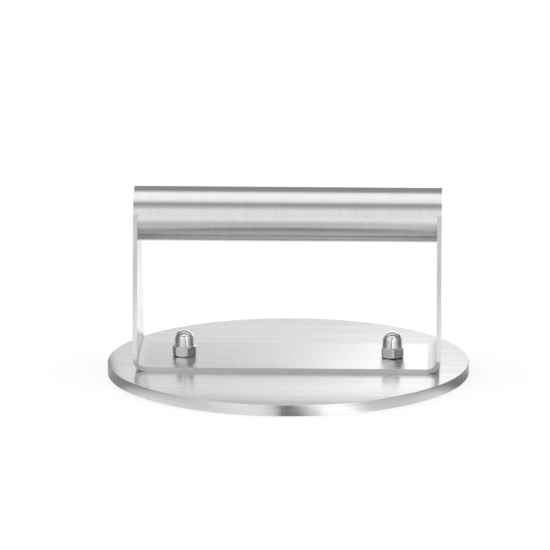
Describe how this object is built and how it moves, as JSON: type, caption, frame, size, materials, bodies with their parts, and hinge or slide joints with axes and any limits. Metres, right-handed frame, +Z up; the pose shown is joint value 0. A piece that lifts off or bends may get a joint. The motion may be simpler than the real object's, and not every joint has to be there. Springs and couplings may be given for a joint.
{
  "type": "smash burger press",
  "caption": "Round flat steel press plate with a bent strap handle, a horizontal tube grip and domed nuts.",
  "frame": {"origin": "centre of the plate's underside, which rests on the griddle", "axes": "+Z up, normal to the plate; +X along the handle's grip tube"},
  "size_m": [0.165, 0.165, 0.0859],
  "materials": {
    "plate_steel": "top brushed straight along the handle, rim brushed round the edge",
    "strap_steel": "finely brushed sheet",
    "tube_steel": "satin, brushed round the tube",
    "nut_steel": "polished dome, machined hexagon",
    "stud_steel": "plain stud steel"
  },
  "bodies": {
    "root": {"press_plate": "plate_steel", "handle_bracket": "strap_steel", "grip_tube": "tube_steel", "left_weld_stud": "stud_steel", "right_weld_stud": "stud_steel", "left_cap_nut": "nut_steel", "right_cap_nut": "nut_steel"}
  },
  "joints": []
}
